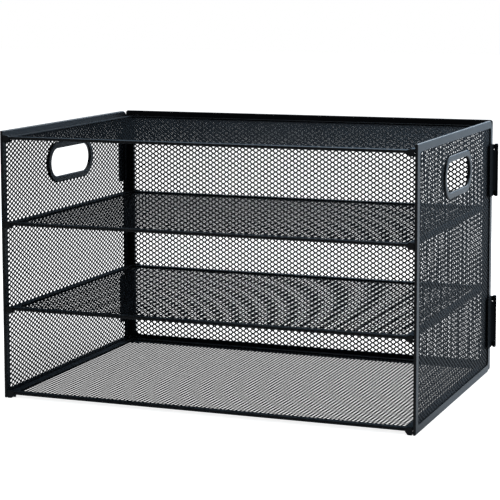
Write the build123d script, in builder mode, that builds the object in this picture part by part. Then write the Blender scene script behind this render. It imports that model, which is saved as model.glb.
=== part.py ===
from build123d import *
import os
from math import hypot

# Desk letter tray: two side panels and a back panel of expanded metal in folded steel hems,
# hinged at the rear corners, and four decks that drop onto pins between them.
# Millimetres. +Z is up, +Y points to the back, +X to the right as seen from the front.
# The origin is at the bottom centre of the whole object.

# Panels
width = 330.0                # outer face of the left side panel to that of the right
side_depth = 224.5           # front to rear edge of a side panel
panel_height = 207.5         # side panels and back panel
mesh_sheet = 0.8             # thickness of the expanded metal
panel_fold = 0.7             # one wall of a panel's folded hem
hem_lip = 1.2                # steel between a hem's outer edge and the edge of the mesh sheet in it
side_hem = 6.0               # width of the hem round a side panel
back_hem = 7.5               # width of the hem round the back panel
front_corner = 2.5           # outer corner radius at the front of a side panel
rear_corner = 9.0            # outer corner radius at the rear of a side panel
back_corner = 2.0            # outer corner radius of the back panel
inner_corner = 3.0           # corner radius inside a side or back hem
panel_edge_round = 0.8       # rounding along a panel hem's outer edges
back_gap = 0.3               # side panel's rear edge to the front face of the back panel
back_inset = 0.4             # back panel's end to the outer face of a side panel

# Diamond mesh, drawn open enough to stay a light solid
mesh_long = 28.0             # pitch along the diamonds' long way
mesh_short = 17.0            # pitch along their short way
strand = 3.8                 # width of a strand

# Hand hole in each side panel
handle_length = 70.0
handle_height = 22.7
handle_drop = 33.0           # centre of the hole below the top of the side panel
handle_back = 3.0            # centre of the hole behind the middle of the side panel
rim_width = 5.0
rim_proud = 0.3              # the rim stands this far out of the hem's faces
rim_round = 1.0

# Decks
deck_names = ("bottom", "lower", "upper", "top")
deck_top_first = 4.7         # top of the bottom deck above the desk
deck_top_drop = 4.5          # top of the top deck below the top of the panels
deck_hem = 6.0               # width of the hem round a deck
deck_top_fold = 0.7          # hem wall above the mesh
deck_bottom_fold = 0.7       # hem wall below the mesh
deck_side_gap = 0.6          # deck to the inner face of a side panel
deck_rear_gap = 1.2          # deck to the front face of the back panel
deck_corner = 1.8            # outer corner radius of a deck
deck_inner_corner = 3.0
deck_edge_round = 0.8

# Lugs at a deck's corners
lug_length = 5.5             # along the rail, its slope included
lug_slope = 2.0              # length of the sloping end
lug_skin = 0.8               # steel in front of the rail
lug_depth = 2.4              # front to rear
lug_rise = 1.0               # above the rail
lug_drop = 1.7               # below the rail, but the bottom deck's lugs reach the desk
lug_corner = 0.8
lug_reach = 0.3              # front lugs reach this far past the deck's ends

# Pins that carry the decks
pin_radius = 1.1
pin_seat_gap = 0.25          # top of a pin to the underside of its deck
pin_lug_gap = 0.3            # lug to the pin beside it
side_pin_length = 5.5
back_pin_length = 6.0
back_pin_inset = 5.0         # pin's axis to the inner face of a side panel

# Corner hinges
leaf_thickness = 1.0
leaf_height = 42.0
side_leaf_width = 12.0       # over the side panel's hem and a little of its mesh
back_leaf_width = 7.5        # no wider than the back panel's hem
leaf_corner = 1.2
knuckle_radius = 1.5
knuckle_offset = 2.6         # hinge axis beyond the outer face of a side panel
hinge_pin_radius = 0.8
hinge_clearance = 0.06       # between the pin and the knuckle that turns on it
ear_height = 4.0             # each knuckle of the back leaf
ear_gap = 0.2                # end play between knuckles
pin_head_radius = 1.25
pin_head_height = 0.6
web_reach = 1.0              # where the side leaf starts to bend out, before the panel's rear edge
hinge_inset = 41.0           # middle of a hinge from the nearer end of the back panel

# Worked out from the sizes above
hem_thickness = mesh_sheet + 2 * panel_fold
rim_thickness = hem_thickness + 2 * rim_proud
deck_thickness = mesh_sheet + deck_top_fold + deck_bottom_fold
foot_drop = deck_top_first - deck_thickness
overall_depth = side_depth + back_gap + hem_thickness + leaf_thickness / 2 + knuckle_radius
front_y = -overall_depth / 2
side_rear_y = front_y + side_depth
side_mid_y = front_y + side_depth / 2
back_front_y = side_rear_y + back_gap
back_rear_y = back_front_y + hem_thickness
back_width = width - 2 * back_inset
inner_x = width / 2 - hem_thickness
deck_width = 2 * (inner_x - deck_side_gap)
deck_front_y = front_y + lug_skin
deck_rear_y = back_front_y - deck_rear_gap
deck_depth = deck_rear_y - deck_front_y
deck_mid_y = (deck_front_y + deck_rear_y) / 2
deck_pitch = (panel_height - deck_top_drop - deck_top_first) / (len(deck_names) - 1)
deck_tops = {name: deck_top_first + i * deck_pitch for i, name in enumerate(deck_names)}
hinge_x = width / 2 + knuckle_offset
hinge_y = back_rear_y + leaf_thickness / 2
hinge_heights = {"lower": hinge_inset, "upper": panel_height - hinge_inset}
sides = {"left": -1, "right": 1}

os.makedirs("parts", exist_ok=True)


def inside_slot(u, v, slot):
    """Whether a point lies in a round-ended slot, given as (centre u, centre v, length, height)."""
    centre_u, centre_v, length, height = slot
    past_straight = max(abs(u - centre_u) - (length - height) / 2, 0)
    return hypot(past_straight, v - centre_v) < height / 2


def cut_mesh(across, up, slot=None):
    """Cut diamond gaps, rows staggered, over an across by up opening of the sketch that is open.

    The pitch is stretched a little so that whole diamonds fill the opening, and the sheet stays
    whole under and round the slot."""
    columns = round(across / mesh_long)
    rows = round(up / mesh_short)
    pitch_u = across / columns
    pitch_v = up / rows
    open_share = 1 - strand * hypot(pitch_u, pitch_v) / (pitch_u * pitch_v)
    half_u = open_share * pitch_u / 2
    half_v = open_share * pitch_v / 2
    corners = ((half_u, 0), (0, half_v), (-half_u, 0), (0, -half_v))
    spots = []
    for shift in (0, 1):
        for i in range(columns - shift):
            for j in range(rows - shift):
                u = (i - (columns - shift - 1) / 2) * pitch_u
                v = (j - (rows - shift - 1) / 2) * pitch_v
                if slot is None or not any(inside_slot(u + du, v + dv, slot) for du, dv in corners):
                    spots.append((u, v))
    with Locations(*spots):
        Polygon(*corners, mode=Mode.SUBTRACT)


def side_outline(inset):
    """Outline of a side panel drawn in by inset, in a sketch across Y and up Z."""
    Rectangle(side_depth - 2 * inset, panel_height - 2 * inset)
    corners = vertices().group_by(Axis.X)
    fillet(corners[-1], max(rear_corner - inset, inner_corner))
    fillet(corners[0], max(front_corner - inset, front_corner / 2))


def back_outline(inset):
    """Outline of the back panel drawn in by inset, in a sketch across X and up Z."""
    Rectangle(back_width - 2 * inset, panel_height - 2 * inset)
    fillet(vertices(), max(back_corner - inset, back_corner / 2))


def side_plane(x):
    """Plane across Y and up Z at x, centred on a side panel."""
    return Plane(origin=(x, side_mid_y, panel_height / 2), x_dir=(0, 1, 0), z_dir=(1, 0, 0))


def back_plane(y):
    """Plane across X and up Z at y, facing the front, centred on the back panel."""
    return Plane(origin=(0, y, panel_height / 2), x_dir=(1, 0, 0), z_dir=(0, -1, 0))


# Side panels
rim_u = handle_back
rim_v = panel_height / 2 - handle_drop
rim_outer_length = handle_length + 2 * rim_width
rim_outer_height = handle_height + 2 * rim_width
mesh_hole_length = handle_length + 2 * hem_lip
mesh_hole_height = handle_height + 2 * hem_lip

for side, sign in sides.items():
    mid_x = sign * (width - hem_thickness) / 2
    low_x = mid_x - hem_thickness / 2

    with BuildPart() as hem:
        with BuildSketch(side_plane(low_x)):
            side_outline(0)
            with BuildSketch(mode=Mode.PRIVATE) as opening:
                Rectangle(side_depth - 2 * side_hem, panel_height - 2 * side_hem)
                fillet(opening.vertices(), inner_corner)
            add(opening.sketch, mode=Mode.SUBTRACT)
        extrude(amount=hem_thickness)
        outer_faces = hem.faces().filter_by(Axis.X)
        rims = [face.outer_wire().edges() for face in outer_faces]
        fillet(rims[0] + rims[1], panel_edge_round)
        with BuildSketch(side_plane(mid_x - mesh_sheet / 2)):
            side_outline(hem_lip)
        extrude(amount=mesh_sheet, mode=Mode.SUBTRACT)
    hem.part.label = f"{side}_side_hem"
    export_step(hem.part, f"parts/{hem.part.label}.step")

    with BuildPart() as mesh:
        with BuildSketch(side_plane(mid_x - mesh_sheet / 2)):
            side_outline(hem_lip)
            rim_slot = (rim_u, rim_v, rim_outer_length, rim_outer_height)
            cut_mesh(side_depth - 2 * side_hem, panel_height - 2 * side_hem, rim_slot)
            with Locations((rim_u, rim_v)):
                SlotOverall(mesh_hole_length, mesh_hole_height, mode=Mode.SUBTRACT)
        extrude(amount=mesh_sheet)
    mesh.part.label = f"{side}_side_mesh"
    export_step(mesh.part, f"parts/{mesh.part.label}.step")

    with BuildPart() as rim:
        with BuildSketch(side_plane(mid_x - rim_thickness / 2)):
            with Locations((rim_u, rim_v)):
                SlotOverall(rim_outer_length, rim_outer_height)
                SlotOverall(handle_length, handle_height, mode=Mode.SUBTRACT)
        extrude(amount=rim_thickness)
        rim_faces = rim.faces().filter_by(Axis.X)
        fillet(rim_faces.edges(), rim_round)
        with BuildSketch(side_plane(mid_x - mesh_sheet / 2)):
            with Locations((rim_u, rim_v)):
                SlotOverall(rim_outer_length, rim_outer_height)
                SlotOverall(mesh_hole_length, mesh_hole_height, mode=Mode.SUBTRACT)
        extrude(amount=mesh_sheet, mode=Mode.SUBTRACT)
    rim.part.label = f"{side}_handle_rim"
    export_step(rim.part, f"parts/{rim.part.label}.step")

    # One pin for each deck, just behind the deck's front lug
    pin_y = front_y + lug_depth + pin_lug_gap + pin_radius
    with BuildPart() as pins:
        for top in deck_tops.values():
            pin_z = top - deck_thickness - pin_seat_gap - pin_radius
            pin_plane = Plane(origin=(sign * inner_x, pin_y, pin_z), x_dir=(0, 1, 0), z_dir=(-sign, 0, 0))
            with BuildSketch(pin_plane):
                Circle(pin_radius)
            extrude(amount=side_pin_length)
    pins.part.label = f"{side}_side_pins"
    export_step(pins.part, f"parts/{pins.part.label}.step")

# Back panel
back_mid_y = back_front_y + hem_thickness / 2

with BuildPart() as hem:
    with BuildSketch(back_plane(back_rear_y)):
        back_outline(0)
        with BuildSketch(mode=Mode.PRIVATE) as opening:
            Rectangle(back_width - 2 * back_hem, panel_height - 2 * back_hem)
            fillet(opening.vertices(), inner_corner)
        add(opening.sketch, mode=Mode.SUBTRACT)
    extrude(amount=hem_thickness)
    outer_faces = hem.faces().filter_by(Axis.Y)
    rims = [face.outer_wire().edges() for face in outer_faces]
    fillet(rims[0] + rims[1], panel_edge_round)
    with BuildSketch(back_plane(back_mid_y + mesh_sheet / 2)):
        back_outline(hem_lip)
    extrude(amount=mesh_sheet, mode=Mode.SUBTRACT)
hem.part.label = "back_hem"
export_step(hem.part, "parts/back_hem.step")

with BuildPart() as mesh:
    with BuildSketch(back_plane(back_mid_y + mesh_sheet / 2)):
        back_outline(hem_lip)
        cut_mesh(back_width - 2 * back_hem, panel_height - 2 * back_hem)
    extrude(amount=mesh_sheet)
mesh.part.label = "back_mesh"
export_step(mesh.part, "parts/back_mesh.step")

back_pin_x = inner_x - back_pin_inset
with BuildPart() as pins:
    for top in deck_tops.values():
        pin_z = top - deck_thickness - pin_seat_gap - pin_radius
        with BuildSketch(Plane(origin=(0, back_front_y, pin_z), x_dir=(1, 0, 0), z_dir=(0, -1, 0))):
            with Locations((-back_pin_x, 0), (back_pin_x, 0)):
                Circle(pin_radius)
        extrude(amount=back_pin_length)
pins.part.label = "back_pins"
export_step(pins.part, "parts/back_pins.step")

# Corner hinges: the back leaf and its pin stay with the back panel, the side leaf turns with the side
side_knuckle_height = leaf_height - 2 * (ear_height + ear_gap)

for level, centre_z in hinge_heights.items():
    low_z = centre_z - leaf_height / 2
    for side, sign in sides.items():
        axis_x = sign * hinge_x
        leaf_x = sign * (width / 2 - back_leaf_width / 2)

        with BuildPart() as back_leaf:
            with BuildSketch(Plane.XY.offset(low_z)):
                with Locations((leaf_x, hinge_y)):
                    Rectangle(back_leaf_width, leaf_thickness)
            extrude(amount=leaf_height)
            fillet(back_leaf.edges().filter_by(Axis.Y).group_by(Axis.X)[0 if sign > 0 else -1], leaf_corner)
            for ear_z in (low_z, low_z + leaf_height - ear_height):
                with BuildSketch(Plane.XY.offset(ear_z)):
                    with Locations((axis_x, hinge_y)):
                        Circle(knuckle_radius)
                    with Locations((axis_x - sign * knuckle_offset / 2, hinge_y)):
                        Rectangle(knuckle_offset, leaf_thickness)
                    with Locations((axis_x, hinge_y)):
                        Circle(hinge_pin_radius, mode=Mode.SUBTRACT)
                extrude(amount=ear_height)
        back_leaf.part.label = f"{side}_{level}_hinge_back_leaf"
        export_step(back_leaf.part, f"parts/{back_leaf.part.label}.step")

        with BuildPart() as side_leaf:
            with BuildSketch(Plane.XY.offset(low_z)):
                with Locations((sign * (width + leaf_thickness) / 2, side_rear_y - side_leaf_width / 2)):
                    Rectangle(leaf_thickness, side_leaf_width)
            extrude(amount=leaf_height)
            fillet(side_leaf.edges().filter_by(Axis.X).group_by(Axis.Y)[0], leaf_corner)
            with BuildSketch(Plane.XY.offset(low_z + ear_height + ear_gap)):
                bend_y = side_rear_y - web_reach
                inner_edge = sign * width / 2
                outer_edge = sign * (width / 2 + leaf_thickness)
                half_web = leaf_thickness / 2
                Polygon(
                    (inner_edge, bend_y),
                    (outer_edge, bend_y),
                    (axis_x + sign * half_web, hinge_y - knuckle_radius / 2),
                    (axis_x - sign * knuckle_radius / 2, hinge_y + half_web),
                    align=None,
                )
                with Locations((axis_x, hinge_y)):
                    Circle(knuckle_radius)
                    Circle(hinge_pin_radius + hinge_clearance, mode=Mode.SUBTRACT)
            extrude(amount=side_knuckle_height)
        side_leaf.part.label = f"{side}_{level}_hinge_side_leaf"
        export_step(side_leaf.part, f"parts/{side_leaf.part.label}.step")

        with BuildPart() as pin:
            with BuildSketch(Plane.XY.offset(low_z)):
                with Locations((axis_x, hinge_y)):
                    Circle(hinge_pin_radius)
            extrude(amount=leaf_height)
            for head_z in (low_z - pin_head_height, low_z + leaf_height):
                with BuildSketch(Plane.XY.offset(head_z)):
                    with Locations((axis_x, hinge_y)):
                        Circle(pin_head_radius)
                extrude(amount=pin_head_height)
        pin.part.label = f"{side}_{level}_hinge_pin"
        export_step(pin.part, f"parts/{pin.part.label}.step")

# Decks
for name, top in deck_tops.items():
    bottom = top - deck_thickness
    mesh_z = bottom + deck_bottom_fold
    mesh_width = deck_width - 2 * hem_lip
    mesh_depth = deck_depth - 2 * hem_lip
    deck_plane = Plane(origin=(0, deck_mid_y, bottom))
    mesh_plane = Plane(origin=(0, deck_mid_y, mesh_z))

    with BuildPart() as hem:
        with BuildSketch(deck_plane):
            RectangleRounded(deck_width, deck_depth, deck_corner)
            inside_width = deck_width - 2 * deck_hem
            inside_depth = deck_depth - 2 * deck_hem
            RectangleRounded(inside_width, inside_depth, deck_inner_corner, mode=Mode.SUBTRACT)
        extrude(amount=deck_thickness)
        outer_faces = hem.faces().filter_by(Axis.Z)
        rims = [face.outer_wire().edges() for face in outer_faces]
        fillet(rims[0] + rims[1], deck_edge_round)
        with BuildSketch(mesh_plane):
            Rectangle(mesh_width, mesh_depth)
        extrude(amount=mesh_sheet, mode=Mode.SUBTRACT)
    hem.part.label = f"{name}_deck_hem"
    export_step(hem.part, f"parts/{hem.part.label}.step")

    with BuildPart() as mesh:
        with BuildSketch(mesh_plane):
            Rectangle(mesh_width, mesh_depth)
            cut_mesh(deck_width - 2 * deck_hem, deck_depth - 2 * deck_hem)
        extrude(amount=mesh_sheet)
    mesh.part.label = f"{name}_deck_mesh"
    export_step(mesh.part, f"parts/{mesh.part.label}.step")

    # Each lug wraps the rail: a skin outside it, a rise on top and a drop below
    drop = foot_drop if name == "bottom" else lug_drop
    for end in ("front", "rear"):
        for side, sign in sides.items():
            if end == "front":
                lug_y = deck_front_y - lug_skin
                outer = deck_width / 2 + lug_reach
                rail_y = deck_front_y
            else:
                lug_y = deck_rear_y + lug_skin - lug_depth
                outer = back_pin_x - pin_radius - pin_lug_gap
                rail_y = deck_rear_y - lug_depth
            tip = outer - lug_length
            full = tip + lug_slope
            with BuildPart() as lug:
                with BuildSketch(Plane(origin=(0, lug_y, 0), x_dir=(1, 0, 0), z_dir=(0, -1, 0))):
                    with BuildLine():
                        Polyline(
                            (sign * outer, top + lug_rise),
                            (sign * full, top + lug_rise),
                            (sign * tip, top),
                            (sign * tip, bottom),
                            (sign * full, bottom - drop),
                            (sign * outer, bottom - drop),
                            close=True,
                        )
                    make_face()
                    fillet(vertices().group_by(Axis.Y)[0], lug_corner)
                extrude(amount=-lug_depth)
                with BuildSketch(Plane.XY.offset(bottom)):
                    with Locations((sign * (tip + outer) / 2, rail_y + lug_depth / 2)):
                        Rectangle(2 * lug_length, lug_depth)
                extrude(amount=deck_thickness, mode=Mode.SUBTRACT)
            lug.part.label = f"{name}_deck_{end}_{side}_lug"
            export_step(lug.part, f"parts/{lug.part.label}.step")
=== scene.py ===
from math import pi, radians

import bmesh
import bpy
from mathutils import Matrix, Vector


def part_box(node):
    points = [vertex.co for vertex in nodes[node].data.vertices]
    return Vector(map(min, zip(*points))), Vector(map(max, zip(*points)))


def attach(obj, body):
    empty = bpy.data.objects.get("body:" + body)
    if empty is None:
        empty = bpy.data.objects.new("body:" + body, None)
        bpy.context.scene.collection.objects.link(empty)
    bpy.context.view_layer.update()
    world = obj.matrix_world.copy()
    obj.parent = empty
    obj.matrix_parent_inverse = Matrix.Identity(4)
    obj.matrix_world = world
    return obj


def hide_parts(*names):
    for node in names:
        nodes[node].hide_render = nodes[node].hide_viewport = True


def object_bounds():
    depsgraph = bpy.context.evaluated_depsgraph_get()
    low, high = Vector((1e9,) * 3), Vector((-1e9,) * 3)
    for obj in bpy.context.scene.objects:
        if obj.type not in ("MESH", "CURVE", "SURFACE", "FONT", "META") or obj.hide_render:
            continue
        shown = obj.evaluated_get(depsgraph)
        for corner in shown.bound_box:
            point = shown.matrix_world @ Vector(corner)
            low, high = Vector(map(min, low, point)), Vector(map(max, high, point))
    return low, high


# Desk letter tray in black powder-coated expanded metal. Metres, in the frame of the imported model:
# +Z is up, +Y points to the back panel, +X to the right as seen from the open front.

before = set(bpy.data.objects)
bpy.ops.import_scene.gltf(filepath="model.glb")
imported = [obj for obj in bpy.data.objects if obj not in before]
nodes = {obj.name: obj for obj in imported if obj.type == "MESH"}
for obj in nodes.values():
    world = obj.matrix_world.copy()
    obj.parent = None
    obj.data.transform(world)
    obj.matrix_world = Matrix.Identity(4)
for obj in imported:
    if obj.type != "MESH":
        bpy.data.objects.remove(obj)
frame_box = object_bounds()
MM = 0.001

SIDES = ("left", "right")
DECKS = ("bottom", "lower", "upper", "top")

# Expanded metal: each panel's diamonds, as their long and short ways, and the strands between them
SIDE_DIAMOND = Vector((6.2, 3.68)) * MM
BACK_DIAMOND = Vector((6.0, 4.0)) * MM
DECK_DIAMOND = Vector((6.4, 3.9)) * MM
STRAND = 1.3 * MM
BOND = 0.8 * MM              # length of the bond where four strands meet
SHEET = 0.25 * MM            # thickness of the sheet that is slit and stretched
TILT = 0.15 * MM             # how far a strand's two edges lean out of the sheet
SAME_CORNER = STRAND / 20    # corners of neighbouring gaps this near are one
SURPLUS = 1 / 4              # of a diamond past the opening, beyond which a gap's middle is surplus
LEVEL = 1 / 8                # of a diamond's short way: nearer the middle line, a corner doesn't lean

# Folded hems and the hand hole's rim
SIDE_HEM = 6.0 * MM
BACK_HEM = 7.5 * MM
DECK_HEM = 6.0 * MM
RIM = 5.0 * MM
DECK_BOTTOM_FOLD = 0.7 * MM  # hem wall below the mesh
MESH_SLOT = 0.8 * MM         # gap between the walls, which holds the mesh
SHEET_EDGE = RIM / 4         # distance of the sheet's edge from the hand hole's, under the rim
NEAREST_GAP = RIM / 2        # least distance of a gap's middle from the hand hole's edge

# Powder coat
BLACK = (0.0025, 0.0030, 0.0038)
WORN_BLACK = (0.0055, 0.0066, 0.0082)
CLOUD = 30 * MM              # width of a cloud of the worn shade
UNEVENNESS = 0.1             # range of roughness that the clouds take, and the grain again
GRAIN_STRENGTH = 0.35        # of the grain's bump

# The camera, as found from the tray's corners in the photograph
CAMERA_PLACE = Vector((493.9, -1287.8, 321.3)) * MM
CAMERA_YAW = radians(-21.16)     # from looking along +Y, to the right
CAMERA_PITCH = radians(-6.35)
CAMERA_ROLL = radians(-0.16)
CAMERA_SHIFT = -0.15             # of the image's side, which keeps the uprights nearly parallel
FOCAL_PIXELS = 1752.3
IMAGE_PIXELS = 500

WHITE = (1, 1, 1, 1)

# The floor
FLOOR_COLOUR = (0.58, 0.59, 0.60, 1)
FLOOR_GLOW = 0.85                # as the camera sees it, so that the lit floor shows white
FLOOR_SHEEN = 0.75               # as the steel mirrors it, behind the tray's front
FLOOR_SHEEN_COLOUR = (0.7, 0.85, 1, 1)
SHEEN_STARTS = -0.05             # behind the tray's front, so a little before it
SHEEN_FULL = 0.1                 # behind the tray's front
FLOOR_REACH = 6.0
FLOOR_DROP = 0.05 * MM           # below the tray's feet

# The room, as the steel mirrors it: a cool wall, lit white, that fades into the dim rest
WALL_WAY = Vector((0.62, 0.76, 0.18)).normalized()
WALL_FADED = 0.3                 # cosine of the angle away from WALL_WAY at which the wall is gone
WALL_FULL = 0.9                  # the same, where it is at its full light
ROOM_COLOUR = (0.50, 0.74, 1, 1)
WALL_LIGHT = 2.15
DIM_LIGHT = 0.07

# The room's even light, on every surface
EVEN_COLOUR = (0.93, 0.97, 1, 1)
EVEN_LIGHT = 0.5

SOFTBOX_AIM = Vector((0, 0, 0.1))    # the tray's middle


class Socket:
    """A shader value that takes Python arithmetic: each operation adds its Math node."""

    def __init__(self, tree, link):
        self.tree = tree
        self.link = link

    def _math(self, operation, first, second):
        return self.tree.node("ShaderNodeMath", {"operation": operation}, {0: first, 1: second})

    def __add__(self, other):
        return self._math("ADD", self, other)

    def __radd__(self, other):
        return self._math("ADD", other, self)

    def __sub__(self, other):
        return self._math("SUBTRACT", self, other)

    def __rsub__(self, other):
        return self._math("SUBTRACT", other, self)

    def __mul__(self, other):
        return self._math("MULTIPLY", self, other)

    def __rmul__(self, other):
        return self._math("MULTIPLY", other, self)


class NodeTree:
    """The nodes of a material or a world."""

    def __init__(self, owner):
        owner.use_nodes = True
        self.owner = owner
        self.tree = owner.node_tree
        self.tree.nodes.clear()

    def node(self, kind, settings, inputs, output=0):
        """Add a node: its settings first, then the values or links of its sockets.

        A socket goes by its name, or by its number where names repeat."""
        added = self.tree.nodes.new(kind)
        for name, value in settings.items():
            setattr(added, name, value)
        for name, value in inputs.items():
            if isinstance(value, Socket):
                self.tree.links.new(value.link, added.inputs[name])
            else:
                added.inputs[name].default_value = value
        return Socket(self, added.outputs[output])

    def is_ray(self, kind):
        """1 on rays of this kind, such as Camera, and 0 on all others."""
        return self.node("ShaderNodeLightPath", {}, {}, f"Is {kind} Ray")

    def end(self, shader, kind):
        """Link the finished shader to an output node of this kind."""
        output = self.tree.nodes.new(kind)
        self.tree.links.new(shader.link, output.inputs["Surface"])


class Finish(NodeTree):
    """A material, whose patterns read Object coordinates."""

    def __init__(self, name):
        super().__init__(bpy.data.materials.new(name))

    def place(self):
        return self.node("ShaderNodeTexCoord", {}, {}, "Object")

    def noise(self, size, detail=2.0):
        """Cloudy noise from 0 to 1 whose patches are about size across."""
        return self.node("ShaderNodeTexNoise", {},
                         {"Vector": self.place(), "Scale": 1 / size, "Detail": detail})

    def mix(self, factor, first, second):
        """Mix two colours: inputs 6 and 7 and output 2 are the Mix node's sockets for colour."""
        return self.node("ShaderNodeMix", {"data_type": "RGBA"},
                         {0: factor, 6: (*first, 1), 7: (*second, 1)}, 2)

    def bump(self, height, strength, distance):
        return self.node("ShaderNodeBump", {},
                         {"Height": height, "Strength": strength, "Distance": distance})

    def surface(self, sockets):
        """End the material in a Principled shader."""
        self.end(self.node("ShaderNodeBsdfPrincipled", {}, sockets), "ShaderNodeOutputMaterial")
        return self.owner


def powder_coat(name, roughness, gloss, grain, grain_height):
    """Black powder coat: two near shades in soft clouds, an uneven gloss and a fine grain."""
    finish = Finish(name)
    clouds = finish.noise(CLOUD, 3)
    speckle = finish.noise(grain)
    return finish.surface({
        "Base Color": finish.mix(clouds, BLACK, WORN_BLACK),
        "Roughness": roughness - (1 - clouds - speckle) * UNEVENNESS,
        "Specular IOR Level": gloss,
        "Normal": finish.bump(speckle, GRAIN_STRENGTH, grain_height),
    })


hem_coat = powder_coat("hem_coat", 0.42, gloss=0.20, grain=0.45 * MM, grain_height=0.03 * MM)
mesh_coat = powder_coat("mesh_coat", 0.46, gloss=0.04, grain=0.30 * MM, grain_height=0.02 * MM)
rim_coat = powder_coat("rim_coat", 0.40, gloss=0.25, grain=0.40 * MM, grain_height=0.03 * MM)
hinge_coat = powder_coat("hinge_coat", 0.60, gloss=0.01, grain=0.35 * MM, grain_height=0.03 * MM)
pin_coat = powder_coat("pin_coat", 0.40, gloss=0.25, grain=0.25 * MM, grain_height=0.02 * MM)
lug_coat = powder_coat("lug_coat", 0.50, gloss=0.20, grain=0.40 * MM, grain_height=0.03 * MM)


def coat(piece, material):
    piece.data.materials.clear()
    piece.data.materials.append(material)


def new_object(bm, name, material):
    """Turn a finished bmesh into an object in this material."""
    mesh = bpy.data.meshes.new(name)
    bm.to_mesh(mesh)
    bm.free()
    made = bpy.data.objects.new(name, mesh)
    bpy.context.scene.collection.objects.link(made)
    coat(made, material)
    return made


class RoundSlot:
    """A round-ended slot lying along X on a sheet: its centre, length and height."""

    def __init__(self, x, y, length, height):
        self.centre = Vector((x, y))
        self.straight = (length - height) / 2
        self.radius = height / 2

    def away(self, point):
        """The vector from the slot's middle line to a point."""
        offset = Vector(point[:2]) - self.centre
        past_straight = max(abs(offset.x) - self.straight, 0)
        return Vector((past_straight if offset.x > 0 else -past_straight, offset.y))

    def distance(self, point):
        return self.away(point).length - self.radius


def expanded_sheet(across, up, diamond, hand_hole=None):
    """Expanded metal for an across by up opening, on X and Y with its middle at the origin.

    Each gap is a diamond whose upper and lower corners are flat, at the bonds between the rows.
    The gaps lie on two grids, half a diamond apart. Whole gaps reach half a diamond past the
    opening, under the hem."""
    columns = round(across / diamond.x)
    rows = round(up / diamond.y)
    long = across / columns
    short = up / rows
    tip = (long - BOND) / 2
    flat = BOND / 2
    peak = short / 2
    outline = ((tip, 0), (flat, peak), (-flat, peak), (-tip, 0), (-flat, -peak), (flat, -peak))
    bm = bmesh.new()
    for x, y in ((-across / 2, -up / 2), ((long - across) / 2, (short - up) / 2)):
        bm.faces.new([bm.verts.new((x + dx, y + dy, 0)) for dx, dy in outline])
    for step, copies in (((long, 0, 0), columns), ((0, short, 0), rows)):
        bmesh.ops.spin(bm, geom=bm.verts[:] + bm.edges[:] + bm.faces[:], axis=(0, 0, 1), dvec=step,
                       steps=copies, use_duplicate=True)
    bmesh.ops.remove_doubles(bm, verts=bm.verts, dist=SAME_CORNER)

    def unwanted(gap):
        """The second grid's surplus row and column, and what the hand hole takes."""
        middle = gap.calc_center_median()
        if abs(middle.x) > across / 2 + SURPLUS * long or abs(middle.y) > up / 2 + SURPLUS * short:
            return True
        return hand_hole is not None and hand_hole.distance(middle) < NEAREST_GAP

    bmesh.ops.delete(bm, geom=[gap for gap in bm.faces if unwanted(gap)], context="FACES")
    if hand_hole is not None:
        for corner in bm.verts:
            depth = SHEET_EDGE - hand_hole.distance(corner.co)
            if depth > 0:
                corner.co += (hand_hole.away(corner.co).normalized() * depth).to_3d()
    draw_strands(bm, LEVEL * short)
    return bm


def draw_strands(bm, level):
    """Leave strands round a sheet's gaps. Each leans out of the sheet, as stretching turns it.

    A gap's side corners lie nearer than level to its middle line, and don't lean."""
    gaps = bm.faces[:]
    bmesh.ops.inset_individual(bm, faces=gaps, thickness=STRAND / 2, use_even_offset=True)
    for gap in gaps:
        middle = gap.calc_center_median().y
        for corner in gap.verts:
            if abs(corner.co.y - middle) > level:
                corner.co.z += TILT if corner.co.y > middle else -TILT
    bmesh.ops.delete(bm, geom=gaps, context="FACES")
    bmesh.ops.solidify(bm, geom=bm.faces, thickness=SHEET)
    bmesh.ops.translate(bm, verts=bm.verts, vec=(0, 0, SHEET / 2))


def stand_across_x(bm, middle):
    """Stand a sheet up with its X along X, its Y up and its face to the front."""
    turn = Matrix.Rotation(pi / 2, 4, "X")
    bmesh.ops.transform(bm, verts=bm.verts, matrix=Matrix.Translation(middle) @ turn)


def stand_across_y(bm, middle):
    """Stand a sheet up with its X along Y, its Y up and its face to the right."""
    turn = Matrix.Rotation(pi / 2, 4, "Z") @ Matrix.Rotation(pi / 2, 4, "X")
    bmesh.ops.transform(bm, verts=bm.verts, matrix=Matrix.Translation(middle) @ turn)


def middle_of(node):
    low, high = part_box(node)
    return (low + high) / 2


def size_of(node):
    low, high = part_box(node)
    return high - low


def add_sheet(bm, name, body):
    """Turn a finished sheet of expanded metal into a piece that rides on a body."""
    piece = new_object(bm, name, mesh_coat)
    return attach(piece, body)


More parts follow.
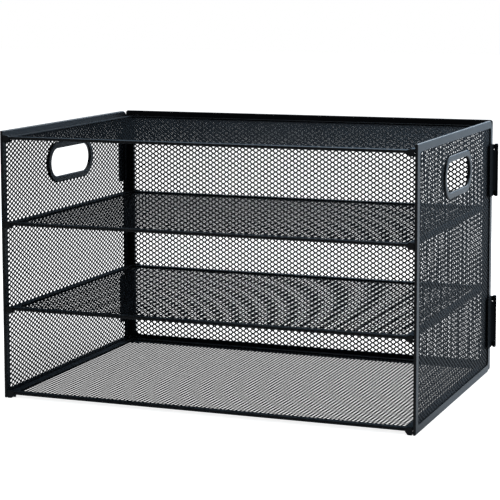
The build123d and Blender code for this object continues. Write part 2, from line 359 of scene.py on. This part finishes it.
def mesh_sheets():
    """The fine expanded metal of the panels and decks, in place of the coarse nets."""
    for side in SIDES:
        hem = size_of(f"{side}_side_hem")
        middle = middle_of(f"{side}_side_hem")
        rim_size = size_of(f"{side}_handle_rim")
        rim_middle = middle_of(f"{side}_handle_rim") - middle
        hand_hole = RoundSlot(rim_middle.y, rim_middle.z, rim_size.y - 2 * RIM, rim_size.z - 2 * RIM)
        bm = expanded_sheet(hem.y - 2 * SIDE_HEM, hem.z - 2 * SIDE_HEM, SIDE_DIAMOND, hand_hole)
        stand_across_y(bm, middle)
        piece = add_sheet(bm, f"{side}_side_expanded_metal", f"{side}_side")
        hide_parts(f"{side}_side_mesh")

    hem = size_of("back_hem")
    bm = expanded_sheet(hem.x - 2 * BACK_HEM, hem.z - 2 * BACK_HEM, BACK_DIAMOND)
    stand_across_x(bm, middle_of("back_hem"))
    piece = add_sheet(bm, "back_expanded_metal", "back")
    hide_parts("back_mesh")

    for deck in DECKS:
        low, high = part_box(f"{deck}_deck_hem")
        bm = expanded_sheet(high.x - low.x - 2 * DECK_HEM, high.y - low.y - 2 * DECK_HEM, DECK_DIAMOND)
        middle = (low + high) / 2
        middle.z = low.z + DECK_BOTTOM_FOLD + MESH_SLOT / 2
        bmesh.ops.translate(bm, verts=bm.verts, vec=middle)
        piece = add_sheet(bm, f"{deck}_deck_expanded_metal", f"{deck}_deck")
        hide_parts(f"{deck}_deck_mesh")


def coat_kept_nodes():
    """Finishes for the steel pieces that stay as they are packed."""
    finishes = {"hem": hem_coat, "rim": rim_coat, "leaf": hinge_coat, "pin": pin_coat,
                "pins": pin_coat, "lug": lug_coat}
    for name, node in nodes.items():
        kind = name.split("_")[-1]
        if kind in finishes:
            coat(node, finishes[kind])


def make_camera():
    data = bpy.data.cameras.new("camera")
    data.sensor_width = 36
    data.lens = data.sensor_width * FOCAL_PIXELS / IMAGE_PIXELS
    data.shift_y = CAMERA_SHIFT
    data.clip_start = 0.01
    data.clip_end = 50
    camera = bpy.data.objects.new("camera", data)
    bpy.context.scene.collection.objects.link(camera)
    turn = (Matrix.Rotation(-CAMERA_YAW, 4, "Z") @ Matrix.Rotation(pi / 2 + CAMERA_PITCH, 4, "X")
            @ Matrix.Rotation(CAMERA_ROLL, 4, "Z"))
    camera.matrix_world = Matrix.Translation(CAMERA_PLACE) @ turn
    bpy.context.scene.camera = camera


def floor_white():
    """The floor's finish: it shows white and keeps the tray's soft shadow. The steel mirrors it
    from the tray's front backwards, as a lit sweep."""
    finish = Finish("floor_white")
    diffuse = finish.node("ShaderNodeBsdfDiffuse", {}, {"Color": FLOOR_COLOUR})
    glow = finish.node("ShaderNodeEmission", {},
                       {"Color": WHITE, "Strength": finish.is_ray("Camera") * FLOOR_GLOW})
    y = finish.node("ShaderNodeSeparateXYZ", {}, {0: finish.place()}, "Y")
    front = frame_box[0][1]
    behind = finish.node("ShaderNodeMapRange", {},
                         {"Value": y, "From Min": front + SHEEN_STARTS, "From Max": front + SHEEN_FULL})
    mirrored = finish.is_ray("Glossy") * behind * FLOOR_SHEEN
    sheen = finish.node("ShaderNodeEmission", {}, {"Color": FLOOR_SHEEN_COLOUR, "Strength": mirrored})
    lit = finish.node("ShaderNodeAddShader", {}, {0: diffuse, 1: glow})
    finish.end(finish.node("ShaderNodeAddShader", {}, {0: lit, 1: sheen}), "ShaderNodeOutputMaterial")
    return finish.owner


def make_floor():
    bm = bmesh.new()
    bmesh.ops.create_grid(bm, x_segments=1, y_segments=1, size=FLOOR_REACH)
    bmesh.ops.translate(bm, verts=bm.verts, vec=(0, 0, frame_box[0][2] - FLOOR_DROP))
    floor = new_object(bm, "floor", floor_white())


def make_world():
    """White wherever the camera looks past the floor. The steel mirrors a wall behind it to the
    right, which fades to a dim room in front, and every surface gets an even light."""
    room = NodeTree(bpy.data.worlds.new("studio"))
    towards = room.node("ShaderNodeTexCoord", {}, {}, "Generated")
    facing = room.node("ShaderNodeVectorMath", {"operation": "DOT_PRODUCT"},
                       {0: towards, 1: WALL_WAY}, "Value")
    wall = room.node("ShaderNodeMapRange", {"interpolation_type": "SMOOTHSTEP"},
                     {"Value": facing, "From Min": WALL_FADED, "From Max": WALL_FULL})
    mirrored = room.node("ShaderNodeBackground", {},
                         {"Color": ROOM_COLOUR, "Strength": wall * WALL_LIGHT + DIM_LIGHT})
    even = room.node("ShaderNodeBackground", {}, {"Color": EVEN_COLOUR, "Strength": EVEN_LIGHT})
    white = room.node("ShaderNodeBackground", {}, {"Color": WHITE, "Strength": 1.0})
    lit = room.node("ShaderNodeMixShader", {}, {0: room.is_ray("Glossy"), 1: even, 2: mirrored})
    shader = room.node("ShaderNodeMixShader", {}, {0: room.is_ray("Camera"), 1: lit, 2: white})
    room.end(shader, "ShaderNodeOutputWorld")
    bpy.context.scene.world = room.owner


def softbox(name, place, width, height, watts):
    data = bpy.data.lights.new(name, "AREA")
    data.shape = "RECTANGLE"
    data.size = width
    data.size_y = height
    data.energy = watts
    light = bpy.data.objects.new(name, data)
    bpy.context.scene.collection.objects.link(light)
    light.location = place
    light.rotation_euler = (SOFTBOX_AIM - Vector(place)).to_track_quat("-Z", "Y").to_euler()


make_camera()
mesh_sheets()
coat_kept_nodes()
make_floor()
make_world()
softbox("overhead", place=(0.0, 0.2, 1.6), width=1.6, height=1.2, watts=14)
softbox("right_side", place=(1.5, 0.6, 0.7), width=0.9, height=1.2, watts=5)
softbox("behind", place=(0.5, 2.0, 1.2), width=1.2, height=0.8, watts=18)
bpy.context.scene.view_settings.view_transform = "Standard"
